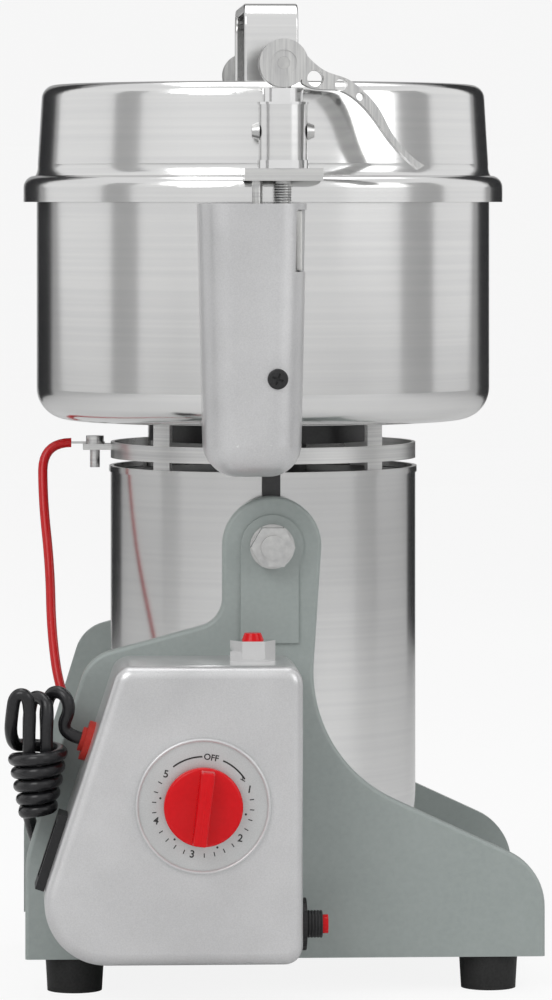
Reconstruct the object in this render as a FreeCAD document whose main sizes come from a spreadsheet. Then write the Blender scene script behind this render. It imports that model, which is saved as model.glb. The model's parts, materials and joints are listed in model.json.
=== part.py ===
import FreeCAD, Part
import math
import os
import Sketcher

# Electric grain mill: a tilting bowl and motor on two side frames, with a control box in front

V = FreeCAD.Vector
doc = FreeCAD.newDocument("GrainMill")
sheet = doc.addObject("Spreadsheet::Sheet", "Sizes")
nodes = []
sizes = []


class Length(float):
    """A number that keeps the sheet formula it comes from."""

    def __new__(cls, value, formula):
        self = super().__new__(cls, value)
        self.formula = formula
        return self

    def __add__(self, other):
        return Length(float(self) + float(other), "(%s + %s)" % (self.formula, text(other)))

    def __sub__(self, other):
        return Length(float(self) - float(other), "(%s - %s)" % (self.formula, text(other)))

    def __mul__(self, other):
        return Length(float(self) * float(other), "(%s * %s)" % (self.formula, text(other)))

    def __truediv__(self, other):
        return Length(float(self) / float(other), "(%s / %s)" % (self.formula, text(other)))

    def __neg__(self):
        return Length(-float(self), "(0 - %s)" % self.formula)

    def __radd__(self, other):
        return Length(float(other), text(other)) + self

    def __rsub__(self, other):
        return Length(float(other), text(other)) - self

    def __rmul__(self, other):
        return self * other


def text(value):
    return getattr(value, "formula", repr(float(value)))


def size(name, value):
    """One driving dimension: a cell of the sheet with the name as its alias."""
    row = len(sizes) + 1
    sizes.append(name)
    sheet.set("A%d" % row, name.replace("_", " "))
    sheet.set("B%d" % row, str(value))
    sheet.setAlias("B%d" % row, name)
    return Length(value, "Sizes." + name)


# Whole machine
axis_x = size("axis_x", -6.75)
axis_y = size("axis_y", 12.5)
fit = size("running_fit", 0.05)
play = size("play", 0.3)
wall = size("sheet_wall", 2)

# Bowl and lid
bowl_r = size("bowl_radius", 115)
bowl_low = size("bowl_bottom", 278.6)
bowl_top = size("bowl_top", 396)
bowl_corner = size("bowl_corner_radius", 16)
bowl_wall = size("bowl_wall", 1.5)
rim_out = size("bowl_rim_width", 3)
rim_r = bowl_r + rim_out
lid_top = size("lid_top", 448)
lid_in = size("lid_inset", 1.5)
lid_r = bowl_r - lid_in
lid_corner = size("lid_corner_radius", 7)
lip_out = size("lid_lip_width", 8.2)
lip_r = lid_r + lip_out
lip_low = size("lid_lip_bottom", 388.7)
seal_deep = size("lid_seal_depth", 2.9)
handle_wide = size("handle_width", 27)
handle_long = size("handle_length", 110)
handle_high = size("handle_height", 40)
handle_thick = size("handle_thickness", 4)
handle_x = size("handle_offset", 1.5)

# Latch covers and rod guides
window_low = size("window_bottom", 355)
window_top = size("window_top", 385)
switch_top = size("switch_top", 355)
guide_low = size("guide_bottom", 363)
guide_high = size("guide_height", 17)
rib_top = guide_low + size("guide_rib_height", 15)

# Motor
motor_r = size("motor_radius", 77.5)
motor_low = size("motor_bottom", 75)
motor_top = size("motor_top", 255)
shaft_r = size("shaft_radius", 6)
bearing_r = size("bearing_radius", 16)
bearing_wide = size("bearing_width", 10)
armature_r = size("armature_radius", 30)
stator_low = size("stator_bottom", 125)
stator_high = size("stator_height", 70)
plate_r = size("mount_plate_radius", 58)
band_low = size("band_bottom", 259)
band_high = size("band_height", 8)
blade_gap = size("blade_to_bowl", 23)
blade_r = bowl_r - blade_gap
blade_wide = size("blade_width", 22)
blade_thick = size("blade_thickness", 3)

# Frames and trunnion
frame_gap = size("frame_to_motor", 6.5)
frame_in = motor_r + frame_gap
frame_thick = size("frame_thickness", 8)
frame_low = size("frame_bottom", 17)
frame_left = size("frame_left", -121.2)
frame_right = size("frame_right", 134.7)
pivot_z = size("pivot_height", 219.5)
dome_r = size("arm_dome_radius", 24.4)
stud_r = size("stud_radius", 6)
nut_flats = size("nut_half_flats", 9.5)
nut_high = size("nut_height", 8)
foot_r = size("foot_radius", 14.5)
foot_in = size("foot_to_frame", 8)
foot_y = frame_in - foot_in
foot_left = size("foot_left", -96.8)
foot_right = size("foot_right", 108)

bush_x = size("lead_bush_x", -90)
bush_z = size("lead_bush_height", 122)
shelf_top = size("bracket_shelf_top", 267)
back_low = size("bracket_back_bottom", 275)

# Control box
box_front = size("box_front", 154)
box_top = size("box_top", 166)
box_low = size("box_bottom", 22)
box_right = size("box_right", 12)
box_left_top = size("box_left_top", -76.7)
box_left_low = size("box_left_bottom", -123.6)
box_edge = size("box_edge_radius", 6)
dial_x = size("dial_x", -36.3)
dial_z = size("dial_z", 99)
dial_r = size("dial_radius", 32.6)
knob_r = size("knob_radius", 19)
knob_front = size("knob_front", 172)
ports_y = size("ports_depth", 123)
lamp_x = size("lamp_x", -11)
breaker_z = size("breaker_z", 38)
button_r = size("reset_button_radius", 4.6)
rocker_z = size("rocker_z", 74)
rocker_long = size("rocker_length", 38)
rocker_wide = size("rocker_width", 24)
gland_z = size("gland_z", 126)
gland_y = size("gland_depth", 112)

# Clamps and latch covers
clamp_x = size("clamp_x", 3.4)
clamp_out = size("clamp_to_bowl", 14)
clamp_y = bowl_r + clamp_out
rod_r = size("rod_radius", 4)
rod_low = size("rod_bottom", 325)
clamp_r = size("clamp_body_radius", 11.85)
washer_r = size("clamp_washer_radius", 12.5)
lug_top = size("lug_top", 405)
cam_z = size("cam_height", 456)
cam_r = size("cam_head_radius", 11.8)
lever_wide = size("lever_width", 18)
cover_x = size("cover_x", -11.4)
cover_wide = size("cover_width", 52.6)
cover_low = size("cover_bottom", 255.7)
cover_top = size("cover_top", 388)
cover_deep = size("cover_depth", 32)
cover_front = bowl_r + cover_deep
cover_round = size("cover_round", 16)
screw_z = size("cover_screw_z", 303.5)

# Cords
cord_d = size("cord_diameter", 6.3)
lead_d = size("lead_diameter", 4.8)
doc.recompute()


def bind(obj, prop, value):
    """Tie one property to its formula."""
    obj.setExpression(prop, text(value))


def place(obj, at, turn=None):
    """Put an object at a point measured from the bowl's axis, turned by (axis, degrees)."""
    if turn:
        obj.Placement = FreeCAD.Placement(V(0, 0, 0), FreeCAD.Rotation(V(*turn[0]), turn[1]))
    bind(obj, "Placement.Base.x", axis_x + at[0])
    bind(obj, "Placement.Base.y", axis_y + at[1])
    bind(obj, "Placement.Base.z", at[2])
    return obj


turn_of = {"z": None, "-y": ((1, 0, 0), 90), "y": ((1, 0, 0), -90), "x": ((0, 1, 0), 90),
           "-x": ((0, 1, 0), -90)}


def cyl(name, radius, length, at, way="z"):
    obj = doc.addObject("Part::Cylinder", name)
    bind(obj, "Radius", radius)
    bind(obj, "Height", length)
    return place(obj, at, turn_of[way])


def cone(name, radius1, radius2, length, at, way="z"):
    obj = doc.addObject("Part::Cone", name)
    bind(obj, "Radius1", radius1)
    bind(obj, "Radius2", radius2)
    bind(obj, "Height", length)
    return place(obj, at, turn_of[way])


def box(name, spans, turn=None):
    """A box from three (low, high) pairs."""
    obj = doc.addObject("Part::Box", name)
    for prop, (low, high) in zip(("Length", "Width", "Height"), spans):
        bind(obj, prop, high - low)
    return place(obj, [low for low, high in spans], turn)


def hexagon(name, half_flats, length, at, way="z"):
    obj = doc.addObject("Part::Prism", name)
    obj.Polygon = 6
    bind(obj, "Circumradius", half_flats * (2 / math.sqrt(3)))
    bind(obj, "Height", length)
    return place(obj, at, turn_of[way])


def fuse(name, *parts):
    obj = doc.addObject("Part::MultiFuse", name)
    obj.Shapes = list(parts)
    return obj


def cut(name, base, *tools):
    obj = doc.addObject("Part::Cut", name)
    obj.Base = base
    obj.Tool = tools[0] if len(tools) == 1 else fuse(name + "Tools", *tools)
    return obj


def common(name, one, two):
    obj = doc.addObject("Part::Common", name)
    obj.Base = one
    obj.Tool = two
    return obj


def group(name, *parts):
    """Separate solids kept in one node."""
    obj = doc.addObject("Part::Compound", name)
    obj.Links = list(parts)
    return obj


def node(obj, label):
    obj.Label = label
    nodes.append(obj)
    return obj


def origin_plane(body, role):
    return [f for f in body.Origin.OriginFeatures if f.Role == role][0]


def outline(body, name, role, points):
    """A closed sketch; a third value on a point makes an arc of that radius up to it."""
    sketch = body.newObject("Sketcher::SketchObject", name)
    sketch.AttachmentSupport = [(origin_plane(body, role), "")]
    sketch.MapMode = "FlatFace"
    flat = [V(float(p[0]), float(p[1]), 0) for p in points]
    for i in range(len(points)):
        a, b = flat[i - 1], flat[i]
        if len(points[i]) == 2:
            sketch.addGeometry(Part.LineSegment(a, b), False)
            continue
        radius = abs(float(points[i][2]))
        side = 1 if points[i][2] > 0 else -1
        middle = (a + b) * 0.5
        across = V(-(b - a).y, (b - a).x, 0).normalize() * side
        rise = math.sqrt(max(radius ** 2 - (b - a).Length ** 2 / 4, 0))
        top = middle + across * rise - across * radius
        sketch.addGeometry(Part.Arc(a, top, b) if side > 0 else Part.Arc(b, top, a), False)
    ends = []
    for i, point in enumerate(points):
        geometry = sketch.Geometry[i]
        goes_on = geometry.EndPoint.distanceToPoint(flat[i]) < 1e-6
        ends.append((2, 1) if goes_on else (1, 2))
    for i, point in enumerate(points):
        after = (i + 1) % len(points)
        sketch.addConstraint(Sketcher.Constraint("Coincident", i, ends[i][0], after, ends[after][1]))
    for i, point in enumerate(points):
        for kind, value in (("DistanceX", point[0]), ("DistanceY", point[1])):
            mark = sketch.addConstraint(Sketcher.Constraint(kind, -1, 1, i, ends[i][0], float(value)))
            if isinstance(value, Length):
                sketch.setExpression("Constraints[%d]" % mark, value.formula)
        if len(point) == 3:
            mark = sketch.addConstraint(Sketcher.Constraint("Radius", i, abs(float(point[2]))))
            if isinstance(point[2], Length):
                formula = point[2].formula if point[2] > 0 else (-point[2]).formula
                sketch.setExpression("Constraints[%d]" % mark, formula)
    return sketch


def turned(name, points):
    """A body of revolution about the bowl's axis; points are (radius, height)."""
    body = doc.addObject("PartDesign::Body", name)
    sketch = outline(body, name + "Profile", "XZ_Plane", points)
    turn = body.newObject("PartDesign::Revolution", name + "Turn")
    turn.Profile = sketch
    turn.ReferenceAxis = (sketch, ["V_Axis"])
    turn.Angle = 360
    return place(body, (0, 0, 0))


def padded(name, points, back, depth, x=0, z=0):
    """A front outline (x, z) padded from the depth called back towards the viewer."""
    body = doc.addObject("PartDesign::Body", name)
    sketch = outline(body, name + "Outline", "XZ_Plane", points)
    pad = body.newObject("PartDesign::Pad", name + "Pad")
    pad.Profile = sketch
    bind(pad, "Length", depth)
    place(body, (x, back, z))
    doc.recompute()
    return body


def rounded(body, name, radius, wanted):
    """Fillet the edges of a body whose middle point, in the body's own frame, is wanted."""
    base = body.Tip
    names = []
    for i, edge in enumerate(base.Shape.Edges):
        if wanted(edge.valueAt((edge.FirstParameter + edge.LastParameter) / 2)):
            names.append("Edge%d" % (i + 1))
    fillet = body.newObject("PartDesign::Fillet", name)
    fillet.Base = (base, names)
    bind(fillet, "Radius", radius)
    doc.recompute()
    return fillet


def near(x, z):
    """True for a front-to-back edge at this outline point."""
    return lambda p: abs(p.x - x) < 0.5 and abs(p.z - z) < 0.5


def both(maker):
    """The same piece in front (side -1) and behind (side 1)."""
    return [maker(side, tag) for side, tag in ((-1, "Front"), (1, "Rear"))]


# Side frames: a foot, a sloped shoulder and an arm with a dome round the pivot

def side_frame(side, tag):
    shoulder = (-90.5, 165.2)
    arm_foot = (17.5, 114.3)
    points = [
        (-dome_r, 183), shoulder, (frame_left, 66), (frame_left, frame_low), (frame_right, frame_low),
        (frame_right, 60), arm_foot, (dome_r, pivot_z), (0, pivot_z + dome_r, dome_r),
         (-dome_r, pivot_z, dome_r)]
    back = -frame_in if side < 0 else frame_in + frame_thick
    body = padded("Frame" + tag, points, back, frame_thick)
    rounded(body, "Bend" + tag, 70, near(*arm_foot))
    rounded(body, "Toe" + tag, 29, near(frame_right, 60))
    rounded(body, "Heel" + tag, 45, near(frame_left, 66))
    rounded(body, "Shoulder" + tag, 20, near(*shoulder))
    rounded(body, "Neck" + tag, 14, near(-dome_r, 183))
    face = -float(frame_thick) if side < 0 else 0.0
    rounded(body, "Edge" + tag, 2, lambda p: abs(p.y - face) < 0.01 and p.z > 18)
    rib_y = -(frame_in + frame_thick) if side < 0 else frame_in + frame_thick + 1.5
    rib = fuse("Rib" + tag,
               cyl("Boss" + tag, 15.5, 1.5, (0, rib_y, pivot_z), "-y"),
               box("Spine" + tag, ((-15.5, 13), (rib_y - 1.5, rib_y), (172, pivot_z))))
    reach = frame_in + frame_thick + 3
    bore = cyl("PivotBore" + tag, stud_r + fit, frame_thick + 12, (0, reach * side, pivot_z),
               "y" if side < 0 else "-y")
    lead_hole = cyl("LeadHole" + tag, 4, frame_thick + 2, (bush_x, -frame_in + 1, bush_z), "-y")
    holes = (bore, lead_hole) if side < 0 else (bore,)
    return cut(tag + "SideFrame", fuse("Cast" + tag, body, rib), *holes)


frame_front, frame_rear = both(side_frame)
node(frame_front, "front_side_frame")
node(frame_rear, "rear_side_frame")

# Base floor: a channel between the frames
floor_left = frame_left + 10
floor_right = frame_right - 8
floor = cut("Floor",
            box("FloorBlank", ((floor_left, floor_right), (-frame_in, frame_in),
                               (frame_low, frame_low + 26))),
            box("FloorHollow", ((floor_left - 1, floor_right + 1), (wall - frame_in, frame_in - wall),
                                (frame_low + wall, frame_low + 40))))
node(floor, "base_floor")


screws = []
for side in (-1, 1):
    for x in (foot_left + 20, foot_right - 20):
        tag = "FloorScrew%d" % len(screws)
        screws.append(cyl(tag, 5, 3, (x, (frame_in - wall) * side, frame_low + 16),
                          "y" if side < 0 else "-y"))
feet = []
for side in (-1, 1):
    for x in (foot_left, foot_right):
        tag = "Foot%d" % len(feet)
        feet.append(cone(tag, foot_r - 1, foot_r, frame_low, (x, foot_y * side, 0)))
node(group("Feet", *feet), "rubber_feet")
for side in (-1, 1):
    for x in (foot_left, foot_right):
        screws.append(cyl("FootScrew%d" % len(screws), 5, 3, (x, (foot_y - 2) * side, frame_low + wall)))
node(group("FloorScrews", *screws), "floor_screws")

# Trunnions: a bracket of bent strip, a stud, a washer and a nut on each side
bracket_in = motor_r + 1.0
bracket_out = frame_in - play
cover_seat = bowl_r + play


def bracket(side, tag):
    def span(low, high):
        return (low * side, high * side) if side > 0 else (-high, -low)
    return fuse("Bracket" + tag,
                cyl("BracketEye" + tag, 16, bracket_out - bracket_in,
                    (0, bracket_in * side, pivot_z), "y" if side > 0 else "-y"),
                box("BracketStem" + tag, ((-4.5, 4.5), span(bracket_in, bracket_out), (pivot_z, shelf_top))),
                box("BracketShelf" + tag, ((-4.5, 4.5), span(bracket_in, cover_seat + 5),
                                          (shelf_top - 5, shelf_top))),
                box("BracketRise" + tag, ((-4.5, 4.5), span(cover_seat, cover_seat + 5), (262, 276))),
                box("BracketBack" + tag, ((-9, 9), span(cover_seat, cover_seat + 5), (back_low, rib_top))))


node(group("TrunnionBrackets", *both(bracket)), "trunnion_brackets")


def outward(name, maker, start, length, side, z, *sizes):
    return maker(name, *sizes, length, (0, start * side, z), "y" if side > 0 else "-y")


frame_out = frame_in + frame_thick + 1.5
node(group("Studs", *[outward("Stud%d" % i, cyl, bracket_out, frame_out + nut_high + 4 - bracket_out, side,
                              pivot_z, stud_r) for i, side in enumerate((-1, 1))]), "trunnion_studs")
washer_thick = 1.5


def ring(name, outer, inner, length, at, way="z"):
    return cut(name, cyl(name + "Disc", outer, length, at, way), cyl(name + "Bore", inner, length, at, way))


nuts = [ring("TrunnionWasher%d" % i, nut_flats + 1.5, stud_r, washer_thick,
             (0, (frame_out + 0.1) * side, pivot_z), "y" if side > 0 else "-y")
          for i, side in enumerate((-1, 1))]
for i, side in enumerate((-1, 1)):
    way = "y" if side > 0 else "-y"
    at = (0, (frame_out + washer_thick + 0.1) * side, pivot_z)
    nuts.append(cut("TrunnionNut%d" % i, hexagon("NutBlank%d" % i, nut_flats, nut_high, at, way),
                    cyl("NutBore%d" % i, stud_r, nut_high, at, way)))
node(group("TrunnionNuts", *nuts), "trunnion_nuts")

# Control box: a shell with a slanted left wall, open at the back against the front frame
box_back = frame_in + frame_thick
box_wall = wall
slant = (box_left_low - box_left_top) / (box_top - box_low)
slant_angle = math.degrees(math.atan(-float(slant)))
slant_wall = box_wall * math.sqrt(1 + float(slant) ** 2)


def box_outline(inset, side_inset):
    top = box_top - inset
    low = box_low + inset
    return [(box_left_top + side_inset + slant * inset, top),
            (box_left_low + side_inset - slant * inset, low),
            (box_right - inset, low), (box_right - inset, top)]


def box_solid(name, inset, side_inset, front, back):
    corners = box_outline(inset, side_inset)
    body = padded(name, corners, -back, front - back)
    rounded(body, name + "Low", 30 - inset, near(*corners[1]))
    for i in (0, 2, 3):
        rounded(body, name + "Corner%d" % i, 9 - inset, near(*corners[i]))
    return body


shell = box_solid("BoxShell", 0 * wall, 0 * wall, box_front, box_back)
face_y = float(box_back - box_front)
rounded(shell, "BoxFrontEdge", box_edge, lambda p: abs(p.y - face_y) < 0.01)
hollow = box_solid("BoxHollow", box_wall, box_wall * 1.05, box_front - box_wall, box_back - 1)


def slant_x(z):
    return box_left_top + slant * (box_top - z)


def slant_block(name, out, inside, wide, long, y):
    """A block on the slanted wall, given by how far it stands out and reaches in."""
    block = doc.addObject("Part::Box", name)
    bind(block, "Length", out + inside)
    bind(block, "Width", wide)
    bind(block, "Height", long)
    angle = math.radians(slant_angle)
    shift_x = -(out * math.cos(angle)) - long * 0.5 * math.sin(angle)
    shift_z = out * math.sin(angle) - long * 0.5 * math.cos(angle)
    return place(block, (slant_x(rocker_z) + shift_x, wide * -0.5 - y, rocker_z + shift_z),
                 ((0, 1, 0), slant_angle))


def slant_cyl(name, radius, start, length, z, y):
    """A cylinder that leaves the slanted wall at right angles."""
    angle = math.radians(slant_angle)
    obj = doc.addObject("Part::Cylinder", name)
    bind(obj, "Radius", radius)
    bind(obj, "Height", length)
    at = (slant_x(z) - start * math.cos(angle), -y, z + start * math.sin(angle))
    return place(obj, at, ((0, 1, 0), slant_angle - 90))


rocker_hole = slant_block("RockerHole", 5 * wall, 5 * wall, rocker_wide - 4, rocker_long - 4, ports_y)
box_cut = cut("ControlBox", shell, hollow,
              cyl("TimerHole", 5, 10, (dial_x, -box_front + 5, dial_z), "-y"),
              cyl("LampHole", 7.5 + play, 12, (lamp_x, -ports_y, box_top - 6)),
              cyl("BreakerHole", 6.4 + play, 12, (box_right - 6, -ports_y, breaker_z), "x"),
              slant_cyl("GlandHole", 6 + play, Length(-6, "(0 - 6)"), 12, gland_z, gland_y),
              rocker_hole)
node(box_cut, "control_box")

# Timer: dial plate, knob on its shaft, clockwork body
plate_front = box_front + 0.8
dial = fuse("Dial", cyl("DialDisc", dial_r, 0.8, (dial_x, -box_front, dial_z), "-y"),
            ring("DialRim", dial_r, dial_r - 1.6, 1.6, (dial_x, -box_front, dial_z), "-y"))
node(cut("DialPlate", dial, cyl("DialBore", 5, 3, (dial_x, 0.5 - box_front, dial_z), "-y")), "dial_plate")
knob_back = plate_front + play
knob_base = 7
grip = padded("KnobGrip", [(-4, 17.6), (-4, -17.6, -90), (4, -17.6), (4, 17.6, -90)],
              -(knob_back + knob_base), knob_front - knob_back - knob_base, dial_x, dial_z)
grip.Placement = FreeCAD.Placement(grip.Placement.Base, FreeCAD.Rotation(V(0, 1, 0), 6.8))
rounded(grip, "GripEdge", 1, lambda p: abs(p.y + float(knob_front - knob_back - knob_base)) < 0.01)
knob_disc = cyl("KnobDisc", knob_r, knob_base, (dial_x, -knob_back, dial_z), "-y")
knob = cut("Knob", fuse("KnobBlank", knob_disc, grip),
           cyl("KnobBore", 3, 10, (dial_x, 1 - knob_back, dial_z), "-y"))
timer_back = box_front - box_wall - 32
timer_shaft = cyl("TimerShaft", 3, knob_back + 9 - timer_back, (dial_x, -timer_back, dial_z), "-y")
node(group("KnobAndShaft", knob, timer_shaft), "timer_knob")
node(cut("Timer", box("TimerCase", ((dial_x - 21, dial_x + 21), (-(box_front - box_wall), -timer_back),
                                    (dial_z - 21, dial_z + 21))),
         cyl("TimerBore", 3 + fit, 40, (dial_x, 1 - timer_back, dial_z), "-y")), "timer_body")

# Signal lamp on the top wall
bezel_high = 10
bezel = fuse("Bezel", hexagon("BezelHex", nut_flats, bezel_high, (lamp_x, -ports_y, box_top)),
             cyl("BezelBarrel", 7.5, 14, (lamp_x, -ports_y, box_top - 14)))
node(cut("LampBezel", bezel,
         cyl("BezelBore", 5.35, 6, (lamp_x, -ports_y, box_top + bezel_high - 6))), "lamp_bezel")
node(fuse("Lens", cyl("LensStem", 5.35, 6, (lamp_x, -ports_y, box_top + bezel_high - 6)),
          cone("LensDome", 5.35, 4, 3.5, (lamp_x, -ports_y, box_top + bezel_high))), "lamp_lens")

# Reset breaker on the right wall
breaker_gap = 3
breaker_in = box_right - wall - breaker_gap
bush_long = wall + 10.8 + breaker_gap
breaker = fuse("BreakerBlank", cyl("BreakerBush", 6.4, bush_long, (breaker_in, -ports_y, breaker_z), "x"),
               box("BreakerCase", ((breaker_in - 29, breaker_in), (-ports_y - 11, 11 - ports_y),
                                   (breaker_z - 12, breaker_z + 12))))
node(cut("Breaker", breaker,
         cyl("BreakerBore", button_r + play, 20, (box_right + 10.8 - 12, -ports_y, breaker_z),
                                 "x")), "breaker_body")
node(ring("BreakerNut", 12.5, 6.4, 3, (box_right, -ports_y, breaker_z), "x"), "breaker_nut")
node(cyl("ResetButton", button_r, 9.5, (box_right + 13.6 - 9.5, -ports_y, breaker_z), "x"), "reset_button")

# Rocker switch on the slanted wall
rocker_case = fuse("RockerBlank",
                   slant_block("RockerBezel", wall * 2.2, 0 * wall, rocker_wide, rocker_long, ports_y),
                   slant_block("RockerCase", 0 * wall, 11 * wall, rocker_wide - 5, rocker_long - 5, ports_y))
node(cut("RockerHousing", rocker_case,
         slant_block("RockerWell", wall * 3, wall * 2.6, rocker_wide - 10, rocker_long - 10, ports_y)),
     "rocker_housing")
node(slant_block("RockerButton", wall * 1.2, wall * 1.4, rocker_wide - 11, rocker_long - 18, ports_y),
     "rocker_button")

# Strain relief and hollow bush for the lead
gland_out = 5 * (wall / 2)
node(fuse("Gland", slant_cyl("GlandFlange", 9.8, 0 * wall, 3, gland_z, gland_y),
          slant_cyl("GlandNeck", 6, -(wall * 2), gland_out + wall * 2, gland_z, gland_y)), "strain_relief")
node(fuse("Bush", cyl("BushBody", 4, frame_thick, (bush_x, -frame_in, bush_z), "-y"),
          cyl("BushHead", 6, 2, (bush_x, 2 - frame_in, bush_z), "-y")), "lead_bush")

# Bowl: a deep pressed cup with a rolled rim and a hub for the shaft
hub_r = 18
hub_top = bowl_low + 13.4
bore_r = 12
bowl = turned("Bowl", [
    (bore_r, bowl_low), (bowl_r - bowl_corner, bowl_low), (bowl_r, bowl_low + bowl_corner, bowl_corner),
    (bowl_r, bowl_top - 4), (rim_r - 2, bowl_top - 4), (rim_r, bowl_top - 2, 2),
    (rim_r - 2, bowl_top, 2), (bowl_r - bowl_wall, bowl_top),
    (bowl_r - bowl_wall, bowl_low + bowl_corner), (bowl_r - bowl_corner, bowl_low + bowl_wall,
                                                   -(bowl_corner - bowl_wall)),
    (hub_r, bowl_low + bowl_wall), (hub_r, hub_top), (bore_r, hub_top)])
node(bowl, "bowl")
node(turned("ShaftSeal", [(shaft_r + fit, bowl_low + 2), (bore_r, bowl_low + 2), (bore_r, hub_top),
                          (shaft_r + fit, hub_top)]), "shaft_seal")


def lid_outer():
    return [(lip_r, lip_low), (lip_r, lip_low + 7.3), (lip_r - 6, lip_low + 13.3, 6),
            (lid_r + 1, lip_low + 19, -9), (lid_r - 1, lid_top - lid_corner),
            (lid_r - 1 - lid_corner, lid_top, lid_corner), (0, lid_top)]


seal_z = bowl_top + 0.1
lid_floor = seal_z + seal_deep
lid = turned("Lid", lid_outer() + [
    (0, lid_top - bowl_wall), (lid_r - 1 - lid_corner, lid_top - bowl_wall),
    (lid_r - 1 - bowl_wall, lid_top - lid_corner, -(lid_corner - bowl_wall)),
    (lid_r - bowl_wall, lid_floor), (lip_r - bowl_wall, lid_floor), (lip_r - bowl_wall, lip_low)])
node(lid, "lid")
node(turned("LidSeal", [(lid_r - bowl_wall, seal_z), (rim_r + 1.5, seal_z), (rim_r + 1.5, lid_floor),
                        (lid_r - bowl_wall, lid_floor)]), "lid_seal")

# Arch handle on the lid
half = handle_long / 2
arch = doc.addObject("PartDesign::Body", "Arch")


def arch_points(inset):
    top = handle_high - inset
    end = half - inset
    turn = 12 - inset
    return [(-end, 0 * inset), (-end, top - turn), (turn - end, top, -turn), (end - turn, top),
            (end, top - turn, -turn),
            (end, 0 * inset)]


arch_inner = list(reversed(arch_points(handle_thick)))
arch_inner = [(arch_inner[0][0], arch_inner[0][1]), (arch_inner[1][0], arch_inner[1][1]),
              (arch_inner[2][0], arch_inner[2][1], 12 - handle_thick), (arch_inner[3][0], arch_inner[3][1]),
              (arch_inner[4][0], arch_inner[4][1], 12 - handle_thick), (arch_inner[5][0], arch_inner[5][1])]
arch_sketch = outline(arch, "ArchOutline", "YZ_Plane", arch_points(0 * handle_thick) + arch_inner)
arch_pad = arch.newObject("PartDesign::Pad", "ArchPad")
arch_pad.Profile = arch_sketch
bind(arch_pad, "Length", handle_wide)
place(arch, (handle_x - handle_wide / 2, 0, lid_top))
doc.recompute()
rounded(arch, "ArchEdges", 1.2, lambda p: p.z > 1 and (p.x < 0.01 or p.x > float(handle_wide) - 0.01))
node(arch, "lid_handle")

# Motor: housing, end brackets, stator, rotor
tube = motor_r - 1.5
node(turned("MotorHousing", [(motor_r, motor_low), (motor_r, motor_top - 3), (motor_r + 0.7, motor_top - 3),
                             (motor_r + 0.7, motor_top), (tube, motor_top), (tube, motor_low)]),
     "motor_housing")
strap_r = tube - 0.4
upper_z = motor_top - 9
bearing_top = upper_z + 6
node(turned("UpperBracket", [
    (shaft_r + 3, upper_z - 8), (22, upper_z - 8), (22, upper_z), (strap_r - 2, upper_z),
    (strap_r - 2, upper_z + 6), (22, upper_z + 6), (22, bowl_low - 10.6), (plate_r, bowl_low - 10.6),
    (plate_r, bowl_low), (bearing_r, bowl_low),
    (bearing_r, bearing_top), (shaft_r + 3, bearing_top)]), "upper_bracket")
low_seat = motor_low + 6
lower_bracket = turned("LowerShield", [
    (0, motor_low - 3), (tube, motor_low - 3), (tube, motor_low + 4), (22, motor_low + 4),
    (22, low_seat + bearing_wide),
    (bearing_r, low_seat + bearing_wide), (bearing_r, low_seat), (0, low_seat)])
posts = [cyl("BrushPost%d" % i, 5, 31 - 4, (0, 34 * side, motor_low + 4)) for i, side in enumerate((-1, 1))]
node(fuse("LowerBracket", lower_bracket, *posts), "lower_bracket")
node(group("Bearings", *[ring("Bearing%d" % i, bearing_r, shaft_r + fit, bearing_wide, (0, 0, z))
                         for i, z in enumerate((low_seat, bearing_top))]), "motor_bearings")
core_ring = ring("CoreRing", tube, 50, stator_high, (0, 0, stator_low))
poles = box("CorePoles", ((-52, 52), (-12, 12), (stator_low, stator_low + stator_high)))
node(cut("StatorCore", fuse("CoreBlank", core_ring, poles),
         cyl("CoreBore", armature_r + 0.6, stator_high + 2, (0, 0, stator_low - 1))), "stator_core")
coils = [cut("Coil%d" % i,
             box("CoilBlock%d" % i, (span, (-22, 22), (stator_low - 12, stator_low + stator_high + 12))),
             box("CoilWindow%d" % i, ((-60, 60), (-12, 12), (stator_low, stator_low + stator_high))))
         for i, span in enumerate(((-44, -34), (34, 44)))]
node(group("FieldCoils", *coils), "field_coils")
brush_z = motor_low + 31
node(group("Brushes", *[box("Brush%d" % i, ((-5, 5), span, (brush_z, brush_z + 12)))
                        for i, span in enumerate(((-42, -16.4), (16.4, 42)))]), "brush_gear")
blade_z = hub_top + 4
shaft = fuse("ShaftBlank",
             cyl("ShaftMain", shaft_r, hub_top + 0.3 - low_seat - play, (0, 0, low_seat + play)),
             cyl("ShaftCollar", 10, 3.7, (0, 0, hub_top + 0.3)),
             cyl("ShaftTip", 5, 40, (0, 0, blade_z)))
node(shaft, "rotor_shaft")
node(ring("Armature", armature_r, shaft_r, stator_high - 6, (0, 0, stator_low + 3)), "armature_core")
node(ring("Commutator", 16, shaft_r, 16, (0, 0, brush_z - 2)), "commutator")
fan_z = stator_low + stator_high + 16
vanes = [box("Vane%d" % i, ((14, 54), (-0.8, 0.8), (fan_z, fan_z + 16)), ((0, 0, 1), i * 45))
         for i in range(8)]
for i, vane in enumerate(vanes):
    turn = math.radians(i * 45)
    place(vane, (14 * math.cos(turn) + 0.8 * math.sin(turn),
                 14 * math.sin(turn) - 0.8 * math.cos(turn), fan_z))
node(cut("CoolingFan", fuse("FanBlank", cyl("FanDisc", 55, 2.5, (0, 0, fan_z)),
                            cyl("FanHub", 16, 16, (0, 0, fan_z)), *vanes),
         cyl("FanBore", shaft_r, 18, (0, 0, fan_z - 1))), "cooling_fan")


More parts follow.
